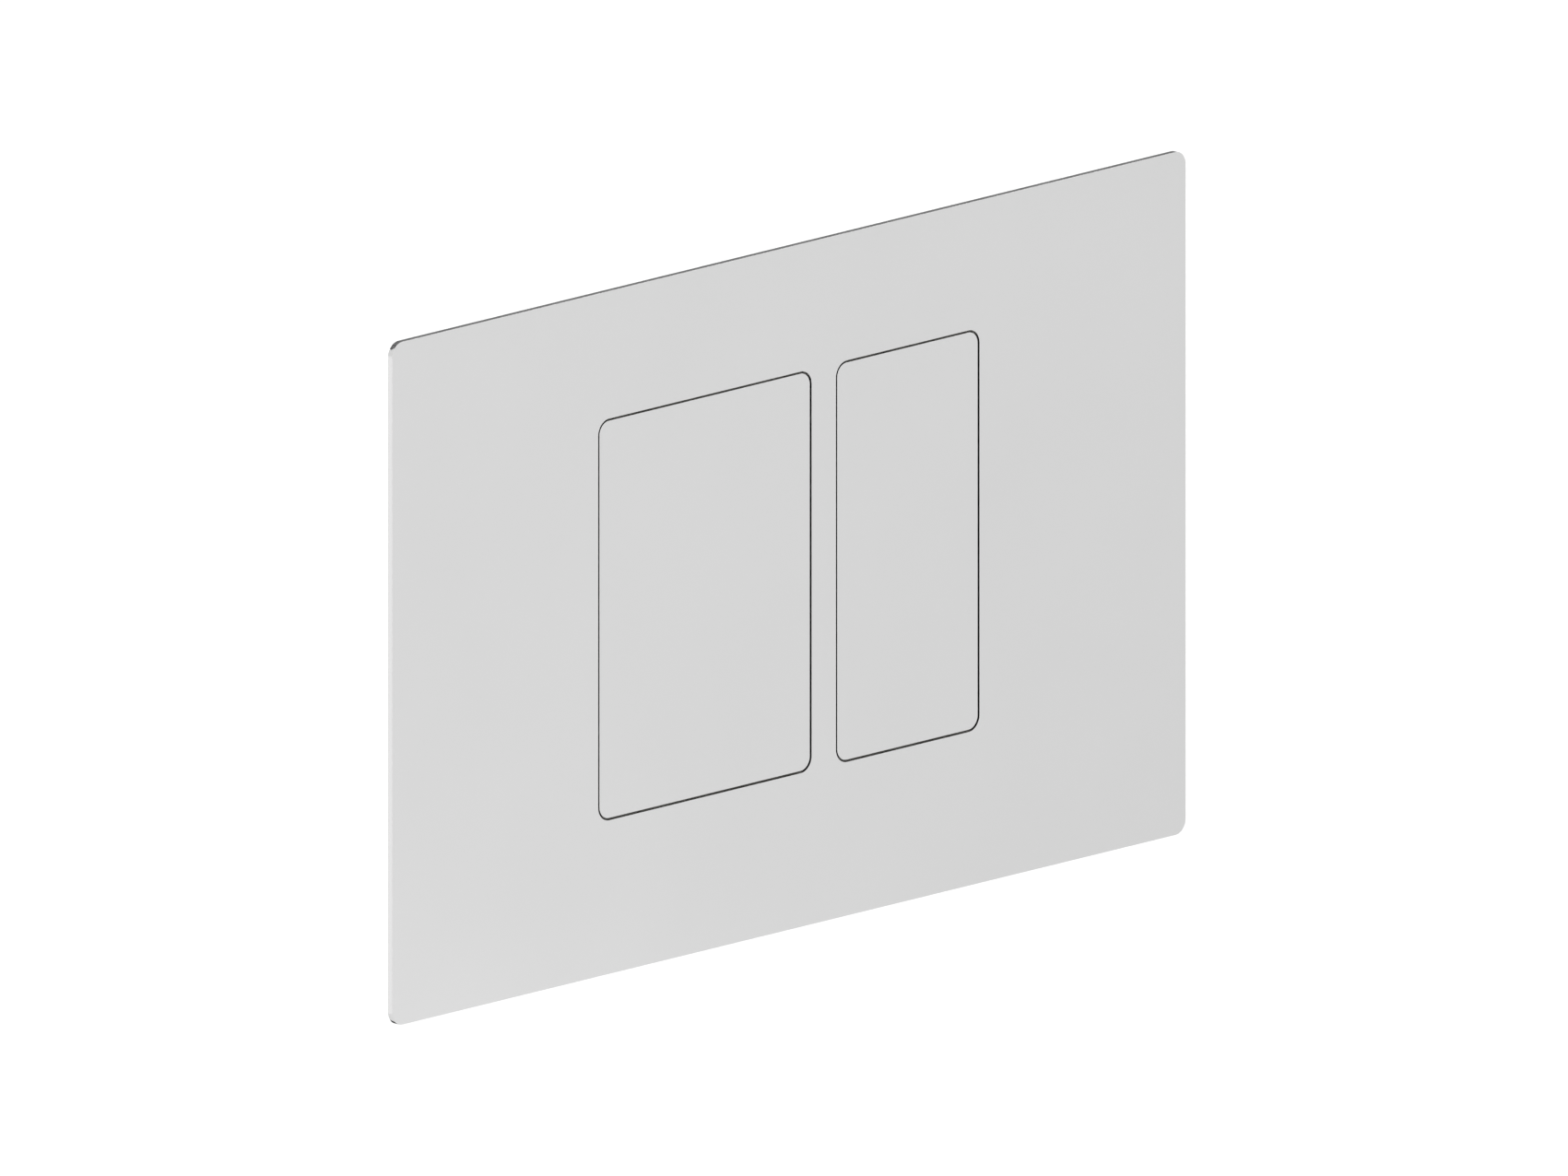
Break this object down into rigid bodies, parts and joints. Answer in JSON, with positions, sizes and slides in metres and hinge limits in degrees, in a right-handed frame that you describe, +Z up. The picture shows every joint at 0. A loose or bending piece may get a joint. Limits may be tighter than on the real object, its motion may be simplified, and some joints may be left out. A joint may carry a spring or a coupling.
{
  "type": "flush button plate",
  "caption": "Flat metal flush plate for a concealed cistern, with a wide and a narrow flush button on hinged rockers that push rods back through a mounting frame.",
  "frame": {"origin": "middle of the cover plate's outline, on the finished wall surface that the seal rests on", "axes": "+X to the right as seen from the front, +Y into the wall, +Z up"},
  "size_m": [0.23, 0.0801, 0.1444],
  "materials": {
    "polished_steel": "bright polished sheet",
    "foam_seal": "closed-cell foam strip",
    "bonding_tape": "matt acrylic foam",
    "carrier_plastic": "moulded, fine satin",
    "rocker_plastic": "moulded, fine satin",
    "frame_plastic": "moulded, fine grain",
    "bright_steel": "drawn bright bar",
    "spring_steel": "bright spring wire",
    "zinc_plated_steel": "zinc plated",
    "nut_plastic": "moulded nylon",
    "stop_rubber": "moulded rubber",
    "rod_plastic": "acetal rod",
    "cap_plastic": "moulded nylon"
  },
  "bodies": {
    "plate_and_frame": {"cover_plate": "polished_steel", "wall_seal": "foam_seal", "bonding_tape": "bonding_tape", "button_carrier": "carrier_plastic", "hinge_rod": "bright_steel", "stop_pads": "stop_rubber", "mounting_frame": "frame_plastic", "left_fixing_stud": "zinc_plated_steel", "right_fixing_stud": "zinc_plated_steel", "left_clamp_nut": "nut_plastic", "right_clamp_nut": "nut_plastic", "full_flush_spring": "spring_steel", "half_flush_spring": "spring_steel"},
    "full_flush_button": {"full_flush_face": "polished_steel", "full_flush_face_tape": "bonding_tape", "full_flush_rocker": "rocker_plastic"},
    "half_flush_button": {"half_flush_face": "polished_steel", "half_flush_face_tape": "bonding_tape", "half_flush_rocker": "rocker_plastic"},
    "full_flush_rod": {"full_flush_push_rod": "rod_plastic", "full_flush_rod_cap": "cap_plastic"},
    "half_flush_rod": {"half_flush_push_rod": "rod_plastic", "half_flush_rod_cap": "cap_plastic"}
  },
  "joints": [
    {"name": "full_flush_press", "type": "hinge", "parent": "plate_and_frame", "child": "full_flush_button", "pos_m": [-0.02432, 0.006, 0.03855], "axis": [1, 0, 0], "range_deg": [0, 4], "stiffness_Nm_per_rad": 1.5, "springref_deg": -11.46, "deforming": ["full_flush_spring"]},
    {"name": "half_flush_press", "type": "hinge", "parent": "plate_and_frame", "child": "half_flush_button", "pos_m": [0.03445, 0.006, 0.03855], "axis": [1, 0, 0], "range_deg": [0, 4], "stiffness_Nm_per_rad": 1.5, "springref_deg": -11.46, "deforming": ["half_flush_spring"]},
    {"name": "full_flush_rod_slide", "type": "slide", "parent": "plate_and_frame", "child": "full_flush_rod", "axis": [0, 1, 0], "range_m": [0, 0.0042]},
    {"name": "half_flush_rod_slide", "type": "slide", "parent": "plate_and_frame", "child": "half_flush_rod", "axis": [0, 1, 0], "range_m": [0, 0.0042]}
  ],
  "couplings": [
    {"joint": "full_flush_rod_slide", "follows": "full_flush_press", "m_per_rad": 0.05855},
    {"joint": "half_flush_rod_slide", "follows": "half_flush_press", "m_per_rad": 0.05855}
  ]
}
